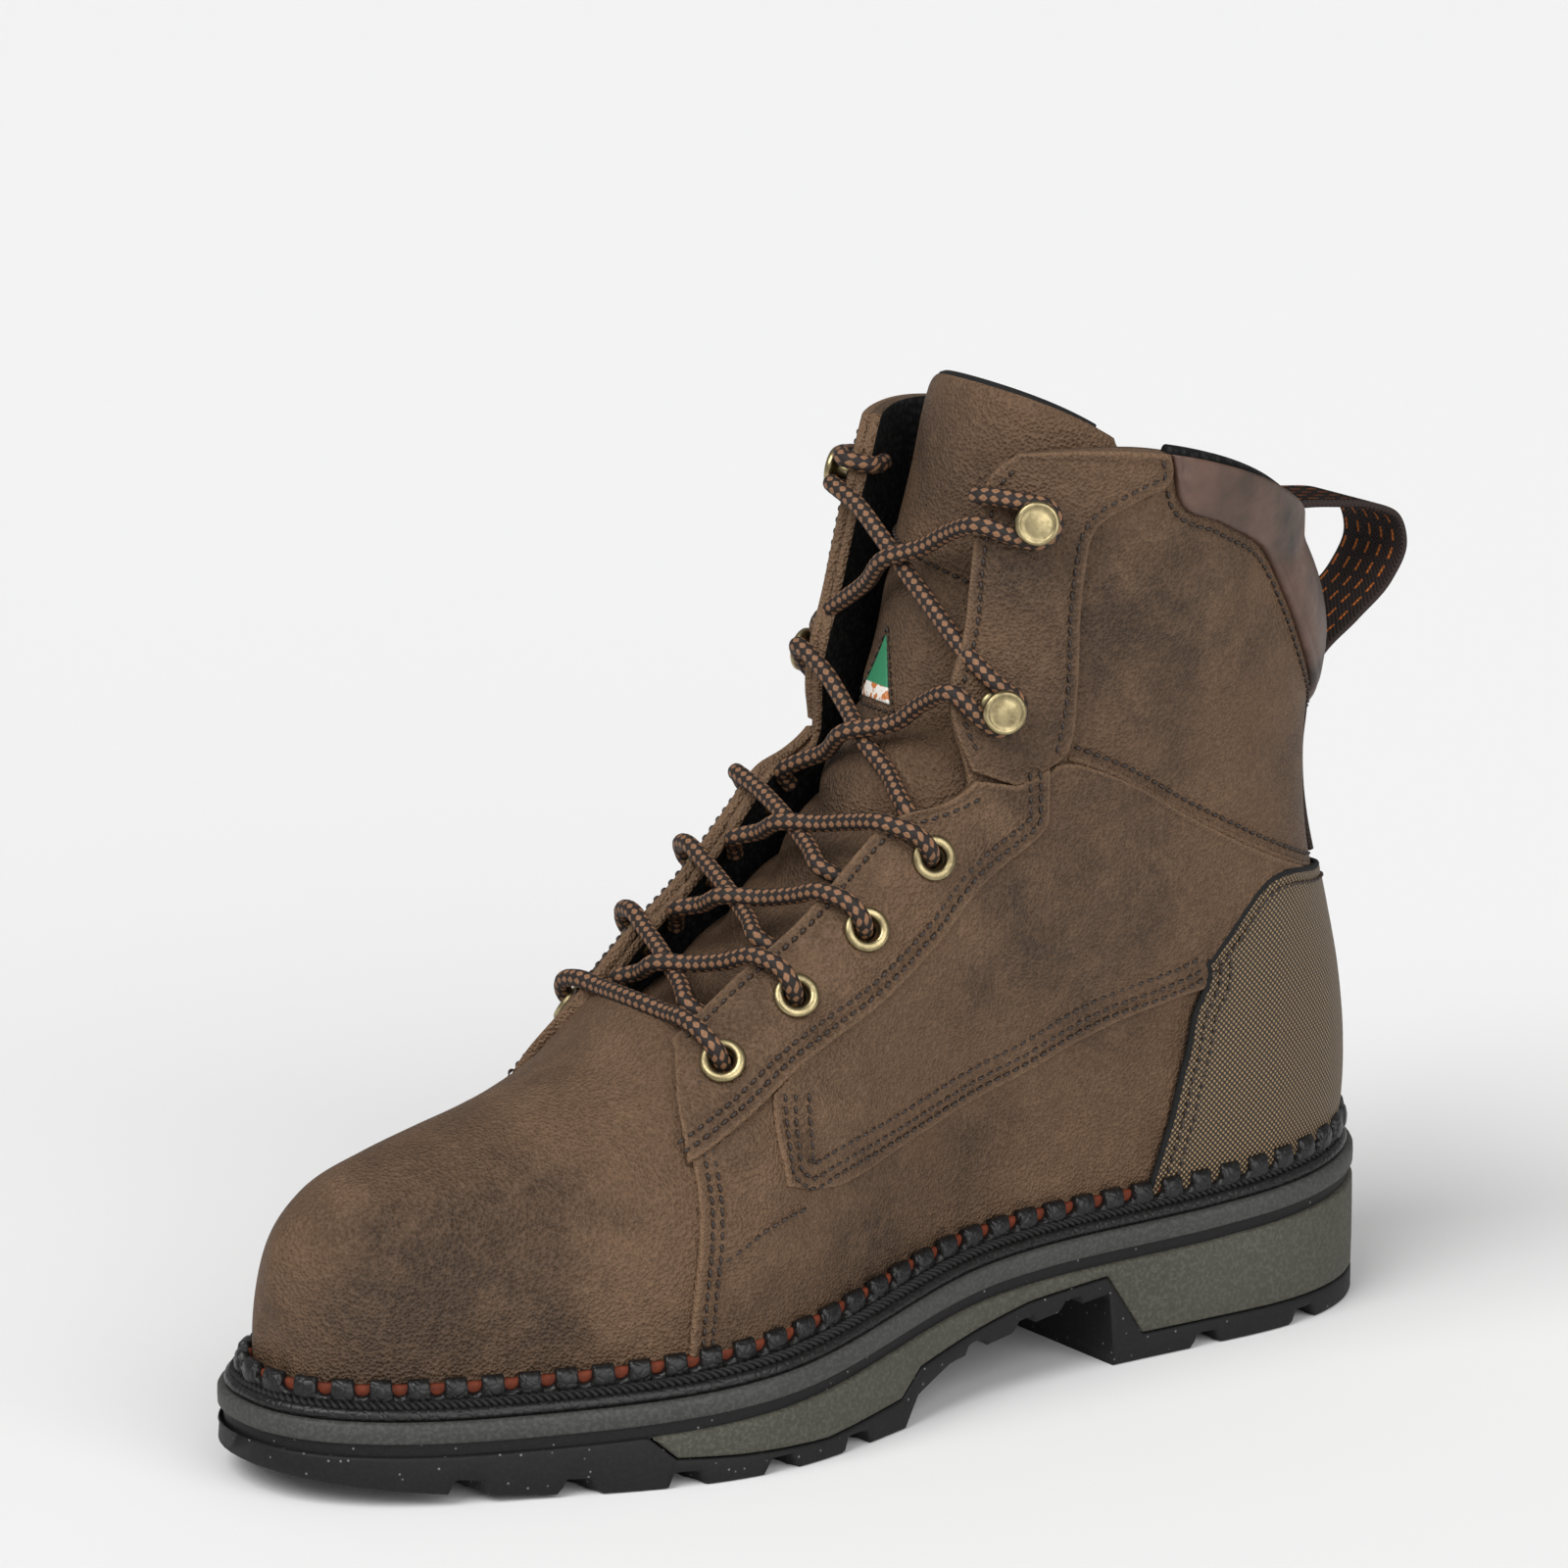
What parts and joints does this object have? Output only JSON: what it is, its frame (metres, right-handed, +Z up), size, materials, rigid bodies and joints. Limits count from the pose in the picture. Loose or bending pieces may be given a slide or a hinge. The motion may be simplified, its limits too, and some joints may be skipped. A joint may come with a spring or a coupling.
{
  "type": "safety toe work boot",
  "caption": "Laced ankle-high safety toe work boot for the left foot, with a hollow leather upper, padded collar, pull loop and lugged rubber sole.",
  "frame": {"origin": "middle of the boot's box, on the floor", "axes": "+X toward the toe, +Y toward the outer side of the left foot, +Z up"},
  "size_m": [0.3304, 0.1116, 0.238],
  "materials": {
    "black_rubber": "matt moulded rubber with a fine grain",
    "green_rubber": "matt pebbled grey-green rubber",
    "grey_rubber": "smooth matt grey midsole",
    "black_leather": "black crackled leather and rubber welt",
    "lining": "black mesh over foam",
    "nubuck": "waxed brown nubuck with soft scuffs",
    "nylon": "dense dark khaki woven nylon",
    "smooth_leather": "smooth dark brown padded leather",
    "webbing": "dark brown webbing with orange dashes",
    "lace": "round brown and black braid",
    "antique_brass": "aged brass, worn bright on the rims"
  },
  "bodies": {
    "root": {"outsole": "black_rubber", "sidewall_insert": "green_rubber", "midsole_band": "grey_rubber", "welt": "black_leather", "rand": "black_leather", "insole": "lining", "upper": "nubuck", "tongue": "nubuck", "eyestay_outer": "nubuck", "hookstay_outer": "nubuck", "eyestay_inner": "nubuck", "hookstay_inner": "nubuck", "heel_counter": "nylon", "collar_panel": "smooth_leather", "pull_loop": "webbing", "lace_bar": "lace", "lace_crossing_1": "lace", "lace_crossing_2": "lace", "lace_crossing_3": "lace", "lace_crossing_4": "lace", "lace_crossing_5": "lace", "eyelet_outer_1": "antique_brass", "eyelet_outer_2": "antique_brass", "eyelet_outer_3": "antique_brass", "eyelet_outer_4": "antique_brass", "hook_outer_1": "antique_brass", "hook_outer_2": "antique_brass", "eyelet_inner_1": "antique_brass", "eyelet_inner_2": "antique_brass", "eyelet_inner_3": "antique_brass", "eyelet_inner_4": "antique_brass", "hook_inner_1": "antique_brass", "hook_inner_2": "antique_brass"}
  },
  "joints": []
}
